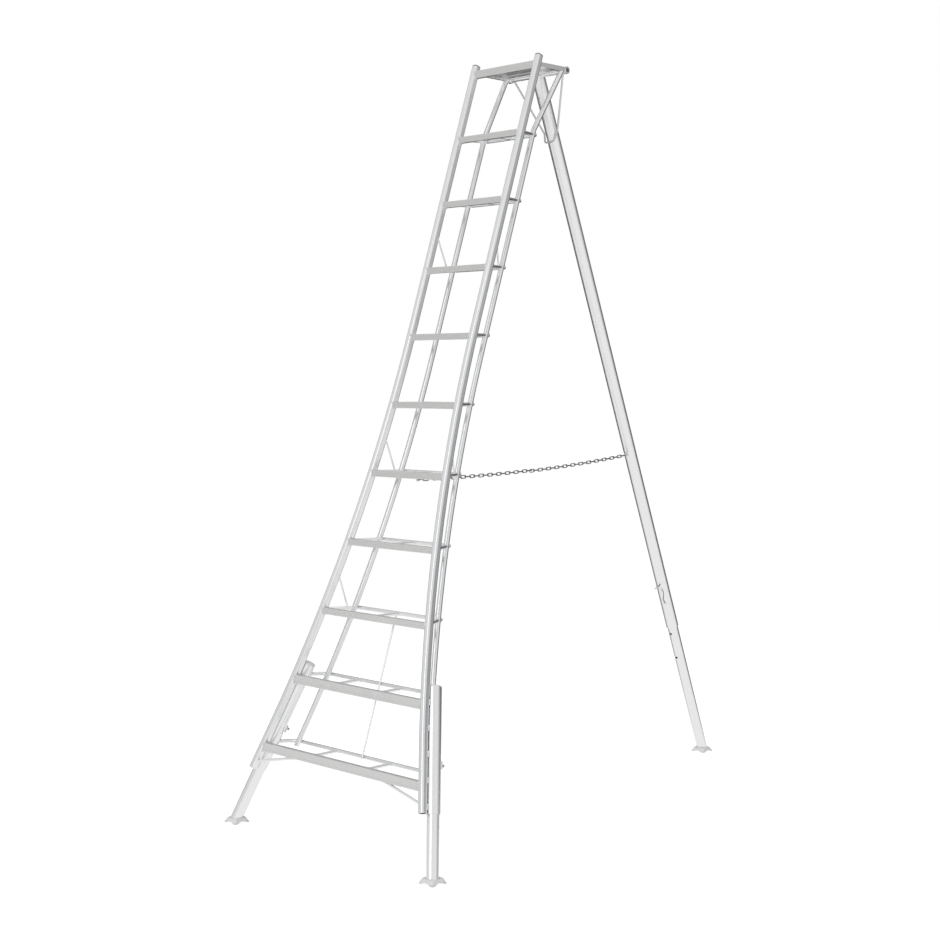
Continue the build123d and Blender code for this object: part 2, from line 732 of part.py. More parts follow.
def build_leg_rivet():
    """A domed rivet on the front of the outer tube, below the hinge."""
    front = SLEEVE_DIAMETER / 2
    plane = Plane(origin=leg_point(0, 95, front - 3), z_dir=leg_forward)
    head = extrude(plane * Circle(5), 6)
    head = fillet(head.faces().filter_by(GeomType.PLANE).sort_by(Axis.Y)[0].edges(), 2)
    return head - rod(leg_point(0, 0, 0), leg_point(0, 200, 0), SLEEVE_DIAMETER)


# ---- chain ----

def build_link(centre, tangent, upright):
    """One welded link along a direction, standing on edge or lying flat."""
    side = Vector(1, 0, 0)
    across = tangent.cross(side) if upright else side
    plane = Plane(origin=centre, x_dir=tangent, z_dir=tangent.cross(across))
    radius = (LINK_OUTER_WIDTH - LINK_WIRE) / 2
    half = (LINK_INNER_LENGTH + LINK_WIRE) / 2 - radius
    shape = Wire([
        Edge.make_line((-half, -radius, 0), (half, -radius, 0)),
        Edge.make_three_point_arc((half, -radius, 0), (half + radius, 0, 0), (half, radius, 0)),
        Edge.make_line((half, radius, 0), (-half, radius, 0)),
        Edge.make_three_point_arc((-half, radius, 0), (-half - radius, 0, 0), (-half, -radius, 0)),
    ])
    start = Plane(origin=(0, -radius, 0), z_dir=(1, 0, 0))
    profile = start * Circle(LINK_WIRE / 2)
    path = Wire([
        Edge.make_line((0, -radius, 0), (half, -radius, 0)),
        shape.edges()[1],
        shape.edges()[2],
        shape.edges()[3],
        Edge.make_line((-half, -radius, 0), (0, -radius, 0)),
    ])
    return largest(sweep(profile, path=path)).moved(plane.location)


def chain_curve(distance):
    """A point and direction on the chain's shallow sag, by the distance from its front pivot."""
    span = chain_rear - chain_front
    share = distance / span.length
    drop = 4 * CHAIN_SAG * share * (1 - share)
    slope = 4 * CHAIN_SAG * (1 - 2 * share) / span.length
    point = chain_front + span * share - Vector(0, 0, drop)
    return point, (span.normalized() - Vector(0, 0, slope)).normalized()


def chain_links(first, step, count, upright, x):
    """A run of links; every second one stands on edge."""
    links = []
    for n in range(count):
        centre, tangent = chain_curve(first + n * step)
        links.append(build_link(centre + Vector(x, 0, 0), tangent, upright == (n % 2 == 0)))
    return links


def lug_plate(points, hole):
    """A flat steel lug across X with a round hole, from its outline's corner points."""
    face = make_face(Polyline(*points, close=True))
    plate = extrude(face, LUG_THICKNESS / 2, dir=(1, 0, 0), both=True)
    plate = fillet(plate.edges().filter_by(Axis.X), 3)
    return plate - rod(hole - Vector(20, 0, 0), hole + Vector(20, 0, 0), LUG_HOLE_DIAMETER)


# ---- assembly ----

chain_front = slope_point(0, CHAIN_PIVOT_DOWN, CHAIN_PIVOT_BACK)
chain_rear = leg_point(0, CHAIN_EYE_DROP, CHAIN_EYE_FORWARD)

right_sleeve_solid = build_sleeve(hollow=False)
left_sleeve_solid = mirrored(right_sleeve_solid)

right_stile = build_stile()
write("right_stile", right_stile)
write("left_stile", mirrored(right_stile))
right_cap = build_stile_cap()
write("stile_caps", Compound(children=[right_cap, mirrored(right_cap)]))

rails, straps, solid_straps, ribs = {}, {}, {}, {}
for step in range(1, STEP_COUNT + 1):
    # the tall rails sit slightly further back, so that their top edge stays behind the stile's face
    shift = 2 if step in TALL_STEPS else 0
    rail_centre = level_point(0, step, shift, 0)
    rails[step] = build_rail(rail_centre, step * STEP_PITCH, rail_height(step))
    solid_straps[step] = build_solid_strap(step)
    straps[step] = build_strap(step, [right_sleeve_solid, left_sleeve_solid])
    ribs[step] = [
        largest(build_rib(step, x, solid_straps[step]) - rails[step]) for x in rib_places(step)
    ]
    strap_parts = [straps[step]]
    if step not in TALL_STEPS:
        right_link = build_link_tube(step, rails[step])
        strap_parts += [right_link, mirrored(right_link)]
    write(f"step_rail_{step}", rails[step])
    write(f"step_strap_{step}", Compound(children=strap_parts))
write("step_ribs", Compound(children=[rib for group in ribs.values() for rib in group]))

write("platform_front_rail", build_rail(platform_rail_centre(), 0, PLATFORM_RAIL_HEIGHT))
write("platform_slats", Compound(children=[build_slat(n) for n in range(SLAT_COUNT)]))
right_side_rail = build_side_rail()
write("right_platform_rail", right_side_rail)
write("left_platform_rail", mirrored(right_side_rail))

right_rear_tube = build_rear_tube()
write("right_rear_tube", right_rear_tube)
write("left_rear_tube", mirrored(right_rear_tube))

braces = []
for step in BRACED_STEPS:
    brace = build_side_brace(step, rails[step])
    braces += [brace, mirrored(brace)]
write("side_braces", Compound(children=braces))
write("centre_tie_rod", build_tie_rod(list(straps.values()), ribs[TALL_STEPS[0] - 1]))
right_strut = build_strut()
write("bottom_struts", Compound(children=[right_strut, mirrored(right_strut)]))

right_sleeve = build_sleeve()
write("right_leg_sleeve", right_sleeve)
write("left_leg_sleeve", mirrored(right_sleeve))
right_sleeve_cap = build_sleeve_cap()
write("sleeve_caps", Compound(children=[right_sleeve_cap, mirrored(right_sleeve_cap)]))
beads = build_sleeve_welds(right_stile, right_sleeve_solid)
write("sleeve_welds", Compound(children=beads + [mirrored(bead) for bead in beads]))

housing = build_latch_housing(right_sleeve_solid)
write("right_latch_housing", housing)
write("left_latch_housing", mirrored(housing))
plunger = build_latch_plunger()
write("right_latch_plunger", plunger)
write("left_latch_plunger", mirrored(plunger))

right_leg = build_front_leg()
write("right_leg_tube", right_leg)
write("left_leg_tube", mirrored(right_leg))
sleeve_axis = (sleeve_point(1) - sleeve_point(0)).normalized()
right_foot = build_foot(foot_centre(sleeve_point(0), sleeve_axis))
write("right_foot", right_foot)
write("left_foot", mirrored(right_foot))

axle_solid = rod(
    hinge - Vector(AXLE_LENGTH / 2, 0, 0), hinge + Vector(AXLE_LENGTH / 2, 0, 0), AXLE_DIAMETER
)
write("hinge_axle", build_axle())
write("back_leg_outer_tube", build_back_outer(axle_solid))
write("back_leg_inner_tube", build_back_inner())
write("back_foot", build_foot(leg_point(0, back_run, 0)))
write("back_lock_pin", build_lock_pin())
write("lock_pin_lanyard", build_lanyard())
write("wire_brace", build_wire_brace(axle_solid))
write("back_leg_rivet", build_leg_rivet())

# chain: three fixed lead links under step 6, then a half hung from each end
lead_reach = LINK_INNER_LENGTH / 2 + LINK_WIRE / 2
hooked_reach = LINK_INNER_LENGTH / 2 - LINK_WIRE / 2 - LINK_CLEARANCE / 2
lead = []
for n in range(LEAD_LINKS):
    centre = chain_front - Vector(CHAIN_X, lead_reach + n * link_spacing, 0)
    lead.append(build_link(centre, Vector(0, 1, 0), n % 2 == 1))
write("chain_lead", Compound(children=lead))
front_half = chain_links(hooked_reach, link_spacing, FRONT_CHAIN_LINKS, True, -CHAIN_X)
write("chain_front_half", Compound(children=front_half))
chain_span = (chain_rear - chain_front).length
rear_half = chain_links(
    chain_span - lead_reach, -link_spacing, REAR_CHAIN_LINKS, False, CHAIN_X
)
write("chain_rear_half", Compound(children=rear_half))

# the frame lug hangs from step 6's rib, the leg lug stands on the back leg's front
lead_length = 2 * lead_reach + (LEAD_LINKS - 1) * link_spacing
frame_hole = chain_front - Vector(CHAIN_X, lead_length, 0)
rib_drop = level_point(0, CHAIN_STEP, 0, strap_rise(CHAIN_STEP)).Z - frame_hole.Z
frame_outline = [
    (-LUG_EDGE, -7), (LUG_EDGE - 2, -7), (LUG_EDGE, 0), (LUG_EDGE, rib_drop), (-LUG_EDGE, rib_drop)
]
frame_lug = lug_plate([frame_hole + Vector(0, y, z) for y, z in frame_outline], frame_hole)
write("chain_frame_lug", largest(frame_lug - ribs[CHAIN_STEP][0]))

tip_half, tip_forward = LEG_LUG_TIP
root_half, root_forward = LEG_LUG_ROOT
leg_outline = [
    (-tip_half, tip_forward), (tip_half, tip_forward), (root_half, root_forward), (-root_half, root_forward)
]
leg_corners = [
    leg_point(CHAIN_X, CHAIN_EYE_DROP + along, forward) for along, forward in leg_outline
]
leg_lug = lug_plate(leg_corners, chain_rear + Vector(CHAIN_X, 0, 0))
outer_solid = rod(leg_point(0, 0, 0), leg_point(0, OUTER_LENGTH, 0), SLEEVE_DIAMETER)
write("chain_leg_lug", largest(leg_lug - outer_solid))
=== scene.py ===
import json
import math
import random

import bmesh
import bpy
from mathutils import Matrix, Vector
from mathutils.bvhtree import BVHTree


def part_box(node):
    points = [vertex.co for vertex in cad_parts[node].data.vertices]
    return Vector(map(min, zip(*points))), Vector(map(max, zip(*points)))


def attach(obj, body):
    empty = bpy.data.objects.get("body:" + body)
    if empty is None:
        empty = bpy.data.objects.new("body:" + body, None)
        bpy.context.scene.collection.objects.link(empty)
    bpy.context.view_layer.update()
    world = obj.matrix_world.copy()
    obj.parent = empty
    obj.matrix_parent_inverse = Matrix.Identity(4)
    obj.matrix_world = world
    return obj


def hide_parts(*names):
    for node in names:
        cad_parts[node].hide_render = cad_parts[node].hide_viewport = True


# Looks for the orchard tripod ladder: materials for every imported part, weld beads and small
# fittings, a white studio, and the camera. Metres; +X right, +Y towards the back leg, +Z up.

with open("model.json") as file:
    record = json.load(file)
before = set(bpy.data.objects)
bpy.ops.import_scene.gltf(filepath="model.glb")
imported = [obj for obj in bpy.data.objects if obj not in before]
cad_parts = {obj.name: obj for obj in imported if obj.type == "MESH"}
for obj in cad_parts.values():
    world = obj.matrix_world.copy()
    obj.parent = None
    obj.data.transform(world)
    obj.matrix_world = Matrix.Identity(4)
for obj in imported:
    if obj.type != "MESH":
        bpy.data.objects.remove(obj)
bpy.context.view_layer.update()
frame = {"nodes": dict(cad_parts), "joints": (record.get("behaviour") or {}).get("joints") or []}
random.seed(7)

# ---- driving values ----

CAMERA_PLACE = Vector((4.885, -5.338, 1.866))
CAMERA_HEADING = 44.85      # degrees to the left of +Y
CAMERA_TILT = -3.22         # degrees above the horizon
CAMERA_LENS = 62.5
CAMERA_SENSOR = 36

FLOOR_RADIUS = 40
FLOOR_RAMP_SPAN = 10        # metres of floor from place 0 to place 1 of the ramps over it
FLOOR_GLOW = 0.55           # how much of the paper's white comes from its own backlight
# brightness of the paper in the metal's mirror image, from beyond the ladder to in front of it
MIRRORED_PAPER = [(0.2, 0.08), (0.35, 0.4), (0.41, 0.86)]
STUDIO_WHITE = (1.0, 1.0, 1.0)
TENT_TOP = (0.66, 0.67, 0.68)
# brightness of the tent by the turn from beyond the ladder, past its left, the camera and its right
TENT_AROUND = [
    (0.0, 0.6), (0.05, 0.4), (0.09, 0.07), (0.15, 0.5), (0.2, 0.82), (0.5, 0.86),
    (0.67, 0.84), (0.75, 0.42), (0.83, 0.12), (0.91, 0.05), (0.95, 0.4), (1.0, 0.6),
]
KEY_PLACE = (0.5, -8.5, 5.5)
KEY_SIZE = (4.0, 4.5)
KEY_POWER = 45              # watts
TOP_PLACE = (0.5, -0.5, 7.5)
TOP_SIZE = (4.0, 4.0)
TOP_POWER = 32              # watts
LOW_LEFT_GREY = 0.62        # the grey card low on the left that the step rails reflect

joints = {joint["name"]: joint for joint in frame["joints"]}
HINGE = Vector(joints["back_leg_fold"]["pos_m"])
ALONG_BACK_LEG = Vector(joints["back_leg_slide"]["axis"])
LEG_RADIUS = 0.025
SLOPE_NORMAL = -Vector(joints["right_latch_travel"]["axis"])
DOWN_SLOPE = SLOPE_NORMAL.cross(Vector((1, 0, 0)))
if DOWN_SLOPE.z > 0:
    DOWN_SLOPE.negate()
ACROSS = Vector((1, 0, 0))
SLEEVE_AXIS = {
    1: Vector(joints["right_leg_slide"]["axis"]),
    -1: Vector(joints["left_leg_slide"]["axis"]),
}


# ---- material building ----

def add_node(tree, kind, inputs=None, **settings):
    """A new node. An input takes a value, or another node's output socket."""
    node = tree.nodes.new(kind)
    for name, value in settings.items():
        setattr(node, name, value)
    for key, value in (inputs or {}).items():
        if isinstance(value, bpy.types.NodeSocket):
            tree.links.new(value, node.inputs[key])
        else:
            node.inputs[key].default_value = value
    return node


def ramp(tree, factor, stops):
    """A colour ramp from (place, colour) stops; a colour can be one grey value."""
    node = add_node(tree, "ShaderNodeValToRGB", {"Fac": factor})
    elements = node.color_ramp.elements
    while len(elements) < len(stops):
        elements.new(0.5)
    for element, (place, colour) in zip(elements, stops):
        element.position = place
        rgb = colour if isinstance(colour, tuple) else (colour,) * 3
        element.color = (*rgb, 1)
    return node.outputs["Color"]


def noise(tree, vector, scale, detail=4, roughness=0.55):
    node = add_node(
        tree, "ShaderNodeTexNoise",
        {"Vector": vector, "Scale": scale, "Detail": detail, "Roughness": roughness},
    )
    return node.outputs["Fac"]


def mix(tree, factor, first, second, blend="MIX"):
    node = add_node(tree, "ShaderNodeMix", data_type="RGBA", blend_type=blend)
    for socket, value in zip((node.inputs[0], node.inputs[6], node.inputs[7]), (factor, first, second)):
        if isinstance(value, bpy.types.NodeSocket):
            tree.links.new(value, socket)
        elif isinstance(value, tuple):
            socket.default_value = (*value, 1)
        else:
            socket.default_value = value
    return node.outputs[2]


def maths(tree, operation, first, second=0.0):
    node = add_node(tree, "ShaderNodeMath", {0: first, 1: second}, operation=operation)
    return node.outputs[0]


def grain_space(tree, direction, stretch):
    """Object coordinates squeezed along the grain, so that noise in them runs in long streaks."""
    turn = direction.to_track_quat("Z", "Y").inverted().to_euler()
    place = add_node(tree, "ShaderNodeTexCoord").outputs["Object"]
    turned = add_node(
        tree, "ShaderNodeVectorRotate", {"Vector": place, "Rotation": turn}, rotation_type="EULER_XYZ"
    )
    squeezed = add_node(
        tree, "ShaderNodeMapping", {"Vector": turned.outputs[0], "Scale": (1, 1, 1 / stretch)}
    )
    return place, squeezed.outputs[0]


def new_material(name):
    material = bpy.data.materials.new(name)
    material.use_nodes = True
    tree = material.node_tree
    shader = tree.nodes["Principled BSDF"]
    return material, tree, shader


def finish_material(tree, shader, colour, roughness, height, bump):
    """Join colour, roughness and bump height to the shader."""
    tree.links.new(colour, shader.inputs["Base Color"])
    tree.links.new(roughness, shader.inputs["Roughness"])
    node = add_node(
        tree, "ShaderNodeBump", {"Height": height, "Strength": 1.0, "Distance": bump}
    )
    tree.links.new(node.outputs["Normal"], shader.inputs["Normal"])


def edge_wear(tree, low=0.52, high=0.62):
    """A mask that is bright along sharp outside edges."""
    pointed = add_node(tree, "ShaderNodeNewGeometry").outputs["Pointiness"]
    return ramp(tree, pointed, [(low, 0.0), (high, 1.0)])


def seam_painted_shade(tree, colour, darkness=0.12):
    """Painted shade: darken a colour in tight gaps, holes and the insides of tubes."""
    openness = add_node(
        tree, "ShaderNodeAmbientOcclusion", {"Distance": SEAM_REACH}, samples=6
    ).outputs["AO"]
    return mix(tree, 1.0, colour, ramp(tree, openness, [(0.08, darkness), (0.42, 1.0)]), "MULTIPLY")


def bore_shade(tree, colour, axis_point, axis, radius):
    """Darken everything nearer to a tube's axis than its outside: its bore and its holes' walls."""
    place = add_node(tree, "ShaderNodeTexCoord").outputs["Object"]
    offset = add_node(
        tree, "ShaderNodeVectorMath", {0: place, 1: axis_point}, operation="SUBTRACT"
    ).outputs["Vector"]
    across = add_node(
        tree, "ShaderNodeVectorMath", {0: offset, 1: axis}, operation="CROSS_PRODUCT"
    ).outputs["Vector"]
    distance = add_node(
        tree, "ShaderNodeVectorMath", {0: across}, operation="LENGTH"
    ).outputs["Value"]
    inside = maths(tree, "LESS_THAN", distance, radius - BORE_MARGIN)
    return mix(tree, inside, colour, BORE_COLOUR)


def extruded_aluminium(name, direction, colour, rough=0.25, metallic=1.0, bore=None):
    """Extruded tube: long die lines, faint oxide clouds, handling smudges, bright edges."""
    material, tree, shader = new_material(name)
    place, grain = grain_space(tree, direction, 60)
    lines = noise(tree, grain, 260, 6, 0.65)
    broad_lines = noise(tree, grain, 60, 3)
    clouds = noise(tree, place, 5, 5)
    smudges = noise(tree, place, 38, 6, 0.7)
    tone = mix(tree, clouds, tuple(c * 0.90 for c in colour), colour)
    tone = mix(
        tree, ramp(tree, broad_lines, [(0.35, 0.0), (0.7, 0.22)]), tone,
        tuple(c * 0.8 for c in colour),
    )
    scuffs = ramp(tree, smudges, [(0.60, 0.0), (0.74, 0.35)])
    tone = mix(tree, scuffs, tone, tuple(c * 0.72 for c in colour))
    tone = mix(tree, edge_wear(tree), tone, (0.95, 0.95, 0.96))
    # painted shade darkens the tight gaps, holes and tube insides
    tone = seam_painted_shade(tree, tone)
    if bore:
        tone = bore_shade(tree, tone, *bore)
    shine = maths(tree, "MULTIPLY_ADD", lines, 0.16)
    shine.node.inputs[2].default_value = rough - 0.08
    shine = maths(tree, "ADD", shine, maths(tree, "MULTIPLY", scuffs, 0.25))
    height = maths(tree, "ADD", lines, maths(tree, "MULTIPLY", smudges, 0.3))
    shader.inputs["Metallic"].default_value = metallic
    finish_material(tree, shader, tone, shine, height, 0.00012)
    return material


def tread_aluminium(name, colour):
    """Mill-finish ribbed tread: cross scratches, grey dust patches, painted shade in the rib hollows
    and gaps, bright worn edges.
    """
    material, tree, shader = new_material(name)
    place, grain = grain_space(tree, ACROSS, 50)
    lines = noise(tree, grain, 320, 6, 0.7)
    dust = noise(tree, place, 16, 6, 0.65)
    grit = noise(tree, place, 420, 3, 0.6)
    # painted shade: the concave hollows between the ribs, found by pointiness, are darkened
    hollow_painted_shade = ramp(
        tree, add_node(tree, "ShaderNodeNewGeometry").outputs["Pointiness"],
        [(0.44, 1.0), (0.5, 0.0)],
    )
    streaks = ramp(tree, lines, [(0.3, 0.0), (0.75, 1.0)])
    tone = mix(tree, streaks, tuple(c * 0.86 for c in colour), colour)
    tone = mix(tree, ramp(tree, dust, [(0.45, 0.0), (0.75, 0.5)]), tone, (0.42, 0.41, 0.385))
    tone = mix(tree, hollow_painted_shade, tone, (0.22, 0.215, 0.205))
    tone = mix(tree, edge_wear(tree, 0.52, 0.60), tone, (0.80, 0.80, 0.79))
    # painted shade darkens the tight gaps, holes and seams of the tread
    tone = seam_painted_shade(tree, tone, 0.2)
    shine = ramp(tree, dust, [(0.3, 0.28), (0.8, 0.5)])
    height = maths(tree, "ADD", lines, maths(tree, "MULTIPLY", grit, 0.5))
    shader.inputs["Metallic"].default_value = 0.85
    finish_material(tree, shader, tone, shine, height, 0.00018)
    return material


def cast_aluminium(name, colour):
    """Sand-cast foot: pebbled skin, scratched high spots, darker towards the ground."""
    material, tree, shader = new_material(name)
    place = add_node(tree, "ShaderNodeTexCoord").outputs["Object"]
    pebble = noise(tree, place, 700, 4, 0.6)
    patch = noise(tree, place, 60, 5, 0.6)
    low = add_node(tree, "ShaderNodeSeparateXYZ", {"Vector": place}).outputs["Z"]
    # darker within about 14 mm of the ground, broken up by noise
    low_darkening = ramp(tree, maths(tree, "ADD", low, maths(tree, "MULTIPLY", patch, 0.012)),
                [(0.003, 0.45), (0.014, 0.0)])
    tone = mix(tree, patch, tuple(c * 0.85 for c in colour), colour)
    tone = mix(tree, low_darkening, tone, (0.40, 0.38, 0.35))
    tone = mix(tree, edge_wear(tree), tone, (0.93, 0.93, 0.94))
    shader.inputs["Metallic"].default_value = 0.35
    finish_material(tree, shader, tone, ramp(tree, patch, [(0.3, 0.42), (0.7, 0.6)]), pebble, 0.0005)
    return material


def plated_steel(name, colour, rough=0.3):
    """Zinc-plated steel: crystal patches, a faint warm and blue passivation tint, rubbed edges."""
    material, tree, shader = new_material(name)
    place = add_node(tree, "ShaderNodeTexCoord").outputs["Object"]
    crystals = add_node(
        tree, "ShaderNodeTexVoronoi", {"Vector": place, "Scale": 260.0}
    ).outputs["Color"]
    patch = noise(tree, place, 90, 5)
    tint = ramp(tree, patch, [
        (0.35, tuple(c * f for c, f in zip(colour, (0.92, 0.96, 1.04)))),
        (0.65, tuple(c * f for c, f in zip(colour, (1.06, 1.0, 0.9)))),
    ])
    tone = mix(tree, 0.12, tint, crystals, "OVERLAY")
    tone = mix(tree, edge_wear(tree), tone, (0.85, 0.85, 0.86))
    shine = ramp(tree, patch, [(0.2, rough), (0.8, rough + 0.2)])
    shader.inputs["Metallic"].default_value = 1.0
    finish_material(tree, shader, tone, shine, patch, 0.0002)
    return material


def weld_metal(name):
    """Weld bead: bright metal with fine ripples, and grey soot specks."""
    material, tree, shader = new_material(name)
    place = add_node(tree, "ShaderNodeTexCoord").outputs["Object"]
    ripple = noise(tree, place, 500, 3)
    soot = noise(tree, place, 120, 5)
    tone = ramp(tree, soot, [(0.3, (0.70, 0.70, 0.71)), (0.65, (0.93, 0.93, 0.94))])
    shader.inputs["Metallic"].default_value = 0.85
    finish_material(tree, shader, tone, ramp(tree, soot, [(0.3, 0.45), (0.7, 0.28)]), ripple, 0.0006)
    return material


def moulded_plastic(name, colour):
    """Matt moulded plastic: fine spark-eroded grain, pale scuffs on the edges."""
    material, tree, shader = new_material(name)
    place = add_node(tree, "ShaderNodeTexCoord").outputs["Object"]
    grain = noise(tree, place, 1400, 2)
    scuff = noise(tree, place, 130, 6, 0.7)
    tone = mix(tree, ramp(tree, scuff, [(0.55, 0.0), (0.75, 0.5)]), colour, (0.24, 0.24, 0.245))
    tone = mix(tree, edge_wear(tree), tone, (0.32, 0.32, 0.33))
    finish_material(tree, shader, tone, ramp(tree, scuff, [(0.3, 0.5), (0.8, 0.75)]), grain, 0.0003)
    return material


SEAM_REACH = 0.025          # how near a surface has to be for the painted shade to darken another
BORE_COLOUR = (0.03, 0.03, 0.032)
BORE_MARGIN = 0.0004        # depth of the skin of a tube that keeps its outside colour
ALUMINIUM = (0.93, 0.935, 0.945)
BACK_ALUMINIUM = (0.95, 0.955, 0.965)
materials = {
    "stile": extruded_aluminium("stile_aluminium", DOWN_SLOPE, ALUMINIUM),
    "back_leg": extruded_aluminium("back_leg_aluminium", ALONG_BACK_LEG, BACK_ALUMINIUM, 0.3),
    "back_extension": extruded_aluminium(
        "back_extension_aluminium", ALONG_BACK_LEG, BACK_ALUMINIUM, 0.3,
        bore=(HINGE, ALONG_BACK_LEG, LEG_RADIUS),
    ),
    "tube": extruded_aluminium("drawn_tube_aluminium", DOWN_SLOPE, (0.90, 0.905, 0.915), 0.25),
    "cross_tube": extruded_aluminium("cross_tube_aluminium", ACROSS, (0.90, 0.905, 0.91), 0.25),
    "tread": tread_aluminium("tread_aluminium", (0.50, 0.485, 0.45)),
    "foot": cast_aluminium("cast_foot_aluminium", (0.96, 0.96, 0.965)),
    "weld": weld_metal("weld_metal"),
    "steel": plated_steel("plated_steel", (0.62, 0.62, 0.63)),
    "chain": plated_steel("chain_steel", (0.18, 0.18, 0.185), 0.34),
    "dark_steel": plated_steel("blackened_steel", (0.08, 0.08, 0.085), 0.42),
    "cap": moulded_plastic("cap_plastic", (0.11, 0.11, 0.115)),
}


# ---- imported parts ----

SHARP_ANGLE = math.radians(32)


def material_for(node):
    """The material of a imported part, by the kind of part it is."""
    kinds = (
        (("stile_caps",), "cap"),
        (("welds",), "weld"),
        (("chain_",), "chain"),
        (("lock_pin", "lanyard"), "dark_steel"),
        (("foot", "sleeve_caps", "latch_housing"), "foot"),
        (("plunger", "wire_brace", "rivet"), "steel"),
        (("step_rail", "platform_slats", "platform_front"), "tread"),
        (("platform_rail",), "tube"),
        (("strap", "axle", "struts"), "cross_tube"),
        (("back_leg_inner",), "back_extension"),
        (("back_leg",), "back_leg"),
        (("rear_tube", "brace", "tie_rod", "ribs"), "tube"),
    )
    for words, material in kinds:
        if any(word in node for word in words):
            return materials[material]
    return materials["stile"]


def dress_packed_parts():
    for name, node in frame["nodes"].items():
        node.data.materials.clear()
        node.data.materials.append(material_for(name))
        for face in node.data.polygons:
            face.use_smooth = True
        edges = node.modifiers.new("smooth_by_angle", "EDGE_SPLIT")
        edges.split_angle = SHARP_ANGLE


dress_packed_parts()


# ---- weld beads ----

RIPPLE = 0.0032             # length of one ripple of a weld bead
RINGS_PER_RIPPLE = 4
RING_SIDES = 8              # corners of a bead's cross-section
OUTLINE_POINTS = 28
STEPS = range(1, 11)
SIDES = (-1, 1)
BENT_STRAP_STEPS = (9, 10)
STRAP_RADIUS = 0.008
STRAP_RUN = 0.05            # from a bent strap's rear face to a place on its straight side run
REAR_TUBE_RADIUS = 0.011
REAR_TUBE_SETBACK = 0.114   # from a step rail's middle back to the rear tubes
LINK_DEPTH = 0.004          # from a stile's inner face to the end of a link's centre line
STITCH_RADIUS = 0.0048      # of the welds between a stile and its sleeve
RAIL_BEAD = 0.0026          # radii of the beads, by what they join
TUBE_BEAD = 0.0022
LINK_BEAD = 0.0024          # at the stile end of a link
RIB_BEAD = 0.002
REAR_TUBE_BEAD = 0.0026
FOOT_BEAD = 0.003
TOUCH_RADIUS = 0.0062       # of the bead's ring round the spot where a strap touches a rear tube
RAY_START = 0.03            # how far inside a rail's end the rays towards the stile start
FOOT_RAY_START = 0.1        # how far above a foot's top the rays towards it start


def surface_of(*names):
    """A ray-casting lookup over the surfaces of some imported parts."""
    points, faces = [], []
    for name in names:
        mesh = frame["nodes"][name].data
        start = len(points)
        points += [vertex.co.copy() for vertex in mesh.vertices]
        faces += [[start + index for index in face.vertices] for face in mesh.polygons]
    return BVHTree.FromPolygons(points, faces)


def round_outline(centre, direction, radius):
    """Points of a circle around a direction."""
    first = direction.orthogonal().normalized()
    second = direction.cross(first).normalized()
    turns = [2 * math.pi * n / OUTLINE_POINTS for n in range(OUTLINE_POINTS)]
    return [centre + radius * (math.cos(a) * first + math.sin(a) * second) for a in turns]


def box_outline(centre, depth, height, points_per_side=8):
    """Points of a rectangle that stands across X."""
    corners = [(-1, -1), (1, -1), (1, 1), (-1, 1)]
    points = []
    for (y0, z0), (y1, z1) in zip(corners, corners[1:] + corners[:1]):
        for n in range(points_per_side):
            share = n / points_per_side
            y = (y0 + (y1 - y0) * share) * depth / 2
            z = (z0 + (z1 - z0) * share) * height / 2
            points.append(centre + Vector((0, y, z)))
    return points


def meeting_path(outline, direction, target):
    """Where an outline, carried along a direction, meets a surface."""
    hits = [target.ray_cast(point, direction)[0] for point in outline]
    return [hit for hit in hits if hit is not None]


def resampled(path, closed, spacing):
    """Evenly spaced points along a path."""
    points = path + path[:1] if closed else path
    lengths = [(b - a).length for a, b in zip(points, points[1:])]
    count = max(4, round(sum(lengths) / spacing))
    result, leg, run = [], 0, 0.0
    for n in range(count + (0 if closed else 1)):
        along = sum(lengths) * n / count
        while leg < len(lengths) - 1 and along > run + lengths[leg]:
            run += lengths[leg]
            leg += 1
        share = min(1, (along - run) / max(lengths[leg], 1e-9))
        result.append(points[leg].lerp(points[leg + 1], share))
    return result


def bridge_rings(shape, rings):
    """Join each ring of vertices to the next one with a band of faces."""
    for ring, following in zip(rings, rings[1:]):
        for n in range(len(ring)):
            other = (n + 1) % len(ring)
            shape.faces.new((ring[n], ring[other], following[other], following[n]))


def lay_bead(shape, path, radius, closed=True):
    """Add a rippled weld bead along a path to a bmesh."""
    if len(path) < 3 and closed:
        return
    points = resampled(path, closed, RIPPLE / RINGS_PER_RIPPLE)
    rings = []
    for n, point in enumerate(points):
        ahead = points[(n + 1) % len(points)] if closed else points[min(n + 1, len(points) - 1)]
        behind = points[n - 1] if closed or n else points[0]
        tangent = (ahead - behind).normalized()
        along_normal = SLOPE_NORMAL.dot(tangent)
        if abs(along_normal) < 0.95:
            first = (SLOPE_NORMAL - tangent * along_normal).normalized()
        else:
            first = tangent.orthogonal().normalized()
        second = tangent.cross(first)
        ripple = abs(math.sin(math.pi * n / RINGS_PER_RIPPLE))
        swell = radius * (0.84 + 0.22 * ripple + random.uniform(-0.04, 0.04))
        if not closed:
            ends = min(n, len(points) - 1 - n) / RINGS_PER_RIPPLE
            swell *= min(1, 0.25 + 0.75 * ends)
        turns = [2 * math.pi * side / RING_SIDES for side in range(RING_SIDES)]
        rings.append([
            shape.verts.new(point + swell * (math.cos(a) * first + math.sin(a) * second)) for a in turns
        ])
    bridge_rings(shape, rings + rings[:1] if closed else rings)
    if not closed:
        shape.faces.new(list(reversed(rings[0])))
        shape.faces.new(rings[-1])


